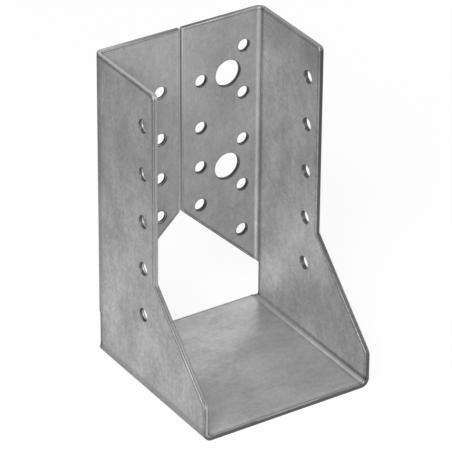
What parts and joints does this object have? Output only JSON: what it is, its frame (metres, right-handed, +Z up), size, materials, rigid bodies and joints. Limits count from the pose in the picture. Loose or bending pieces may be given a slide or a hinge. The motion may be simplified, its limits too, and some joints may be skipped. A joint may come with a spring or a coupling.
{
  "type": "joist hanger",
  "caption": "Face-fixed joist hanger folded from one galvanised sheet, with a U-shaped joist pocket, sloped front edges and inward-turned header flanges.",
  "frame": {"origin": "centre of the seat's underside", "axes": "+Z up; +Y towards the header, out of the back of the flanges; +X across the joist"},
  "size_m": [0.074, 0.077, 0.129],
  "materials": {
    "galvanised_sheet": "hot-dip galvanised, dull"
  },
  "bodies": {
    "root": {"hanger": "galvanised_sheet"}
  },
  "joints": []
}
